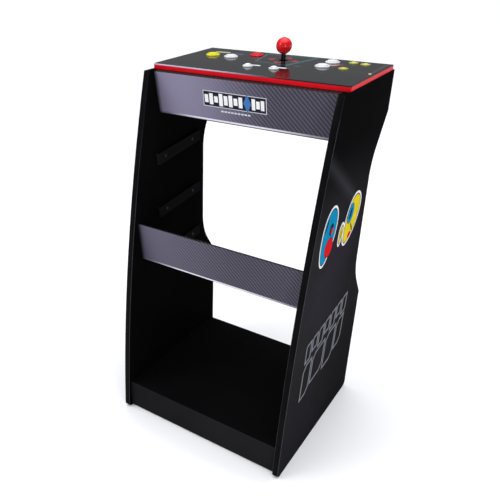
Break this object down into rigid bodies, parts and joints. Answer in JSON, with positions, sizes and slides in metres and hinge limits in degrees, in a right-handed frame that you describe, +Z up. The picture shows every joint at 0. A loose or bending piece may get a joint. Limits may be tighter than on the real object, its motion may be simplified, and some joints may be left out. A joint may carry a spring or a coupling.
{
  "type": "arcade cabinet",
  "caption": "Standing arcade control cabinet: shaped side panels, open bays, and a sloping deck with a ball-top joystick and push buttons.",
  "frame": {"origin": "on the floor, at the middle of the footprint's bounding box", "axes": "+X to the player's right, +Y from the player's side to the back, +Z up"},
  "size_m": [0.483, 0.445, 0.9579],
  "materials": {
    "side_board": "black printed laminate on board, satin",
    "printed_board": "printed woven pattern under satin film",
    "black_board": "black painted board, satin",
    "edge_moulding": "extruded vinyl edge, satin",
    "red_moulding": "red vinyl edge, gloss",
    "deck_core": "black faced board",
    "deck_print": "printed polycarbonate sheet, gloss",
    "beech": "plain beech dowel",
    "zinc": "bright zinc plate",
    "black_zinc": "black zinc plate",
    "dome_grey": "charcoal moulded, gloss",
    "zamak": "die-cast, dull",
    "steel_shaft": "black nickel plate",
    "shaft_sleeve": "black moulded sleeve, gloss",
    "red_ball": "red moulded ball, high gloss",
    "black_moulding": "black moulded, fine texture",
    "white_button": "white moulded, gloss",
    "yellow_button": "yellow moulded, gloss",
    "pale_yellow_button": "pale yellow moulded, gloss",
    "red_button": "red moulded, gloss",
    "button_rim": "white moulded rim, gloss",
    "small_rim": "pale yellow moulded rim, gloss",
    "circuit_board": "green solder mask",
    "chip_black": "moulded packages",
    "nylon": "natural nylon",
    "cone_fibre": "treated fibre cone",
    "ferrite": "dark ferrite",
    "spring_steel": "bright spring wire",
    "hardboard": "brown hardboard, smooth face"
  },
  "bodies": {
    "cabinet": {"left_side_panel": "side_board", "right_side_panel": "side_board", "left_edge_trim": "edge_moulding", "right_edge_trim": "edge_moulding", "left_runners": "black_board", "right_runners": "black_board", "front_apron": "printed_board", "mid_panel": "printed_board", "kick_panel": "black_board", "bottom_shelf": "black_board", "rear_kick_rail": "black_board", "rear_panel": "black_board", "dowel_pins": "beech", "cam_bolts": "zinc", "cam_locks": "zamak", "wood_screws": "black_zinc", "foot_glides": "black_moulding", "box_cleats": "black_board", "control_box_floor": "hardboard", "speaker_basket": "black_moulding", "speaker_cone": "cone_fibre", "speaker_magnet": "ferrite", "main_board": "circuit_board", "board_components": "chip_black", "board_standoffs": "nylon", "power_switch_body": "black_moulding", "dc_inlet": "black_moulding", "dc_inlet_nut": "zinc", "deck_board": "deck_core", "deck_overlay": "deck_print", "deck_edge_trim": "red_moulding", "large_button_bodies": "button_rim", "small_button_bodies": "button_rim", "menu_button_bodies": "small_rim", "button_nuts": "black_moulding", "button_switches": "black_moulding", "joystick_mounting_plate": "zinc", "joystick_housing": "black_moulding", "joystick_restrictor_gate": "black_moulding", "joystick_switches": "black_moulding", "joystick_screws": "zinc"},
    "gimbal": {"joystick_gimbal": "black_moulding"},
    "stick": {"ball_top": "red_ball", "joystick_shaft": "steel_shaft", "joystick_shaft_cover": "shaft_sleeve", "joystick_dust_dome": "dome_grey", "joystick_actuator": "black_moulding", "joystick_e_clip": "spring_steel", "joystick_spring": "spring_steel"},
    "rocker": {"power_rocker": "black_moulding"},
    "yellow_button_body": {"yellow_button": "yellow_button"},
    "white_button_left_body": {"white_button_left": "white_button"},
    "red_button_body": {"red_button": "red_button"},
    "white_button_front_body": {"white_button_front": "white_button"},
    "white_button_back_body": {"white_button_back": "white_button"},
    "start_button_left_body": {"start_button_left": "white_button"},
    "start_button_right_body": {"start_button_right": "white_button"},
    "menu_button_front_body": {"menu_button_front": "pale_yellow_button"},
    "menu_button_left_body": {"menu_button_left": "pale_yellow_button"},
    "menu_button_right_body": {"menu_button_right": "pale_yellow_button"}
  },
  "joints": [
    {"name": "joystick_fore_aft", "type": "hinge", "parent": "cabinet", "child": "gimbal", "pos_m": [0.003, 0.14167, 0.8826], "axis": [1, 0, 0], "range_deg": [-7, 7], "stiffness_Nm_per_rad": 0.6},
    {"name": "joystick_sideways", "type": "hinge", "parent": "gimbal", "child": "stick", "pos_m": [0.003, 0.14167, 0.8826], "axis": [0, 0.9997, 0.0227], "range_deg": [-7, 7], "stiffness_Nm_per_rad": 0.6, "deforming": ["joystick_spring"]},
    {"name": "power_rock", "type": "hinge", "parent": "cabinet", "child": "rocker", "pos_m": [0.118, 0.213, 0.846], "axis": [0, 0, 1], "range_deg": [0, 20]},
    {"name": "yellow_button_press", "type": "slide", "parent": "cabinet", "child": "yellow_button_body", "axis": [0, -0.0227, 0.9997], "range_m": [-0.003, 0], "stiffness_N_per_m": 180, "springref_m": 0.003},
    {"name": "white_button_left_press", "type": "slide", "parent": "cabinet", "child": "white_button_left_body", "axis": [0, -0.0227, 0.9997], "range_m": [-0.003, 0], "stiffness_N_per_m": 180, "springref_m": 0.003},
    {"name": "red_button_press", "type": "slide", "parent": "cabinet", "child": "red_button_body", "axis": [0, -0.0227, 0.9997], "range_m": [-0.003, 0], "stiffness_N_per_m": 180, "springref_m": 0.003},
    {"name": "white_button_front_press", "type": "slide", "parent": "cabinet", "child": "white_button_front_body", "axis": [0, -0.0227, 0.9997], "range_m": [-0.003, 0], "stiffness_N_per_m": 180, "springref_m": 0.003},
    {"name": "white_button_back_press", "type": "slide", "parent": "cabinet", "child": "white_button_back_body", "axis": [0, -0.0227, 0.9997], "range_m": [-0.003, 0], "stiffness_N_per_m": 180, "springref_m": 0.003},
    {"name": "start_button_left_press", "type": "slide", "parent": "cabinet", "child": "start_button_left_body", "axis": [0, -0.0227, 0.9997], "range_m": [-0.003, 0], "stiffness_N_per_m": 180, "springref_m": 0.003},
    {"name": "start_button_right_press", "type": "slide", "parent": "cabinet", "child": "start_button_right_body", "axis": [0, -0.0227, 0.9997], "range_m": [-0.003, 0], "stiffness_N_per_m": 180, "springref_m": 0.003},
    {"name": "menu_button_front_press", "type": "slide", "parent": "cabinet", "child": "menu_button_front_body", "axis": [0, -0.0227, 0.9997], "range_m": [-0.0018, 0], "stiffness_N_per_m": 180, "springref_m": 0.003},
    {"name": "menu_button_left_press", "type": "slide", "parent": "cabinet", "child": "menu_button_left_body", "axis": [0, -0.0227, 0.9997], "range_m": [-0.0018, 0], "stiffness_N_per_m": 180, "springref_m": 0.003},
    {"name": "menu_button_right_press", "type": "slide", "parent": "cabinet", "child": "menu_button_right_body", "axis": [0, -0.0227, 0.9997], "range_m": [-0.0018, 0], "stiffness_N_per_m": 180, "springref_m": 0.003}
  ]
}
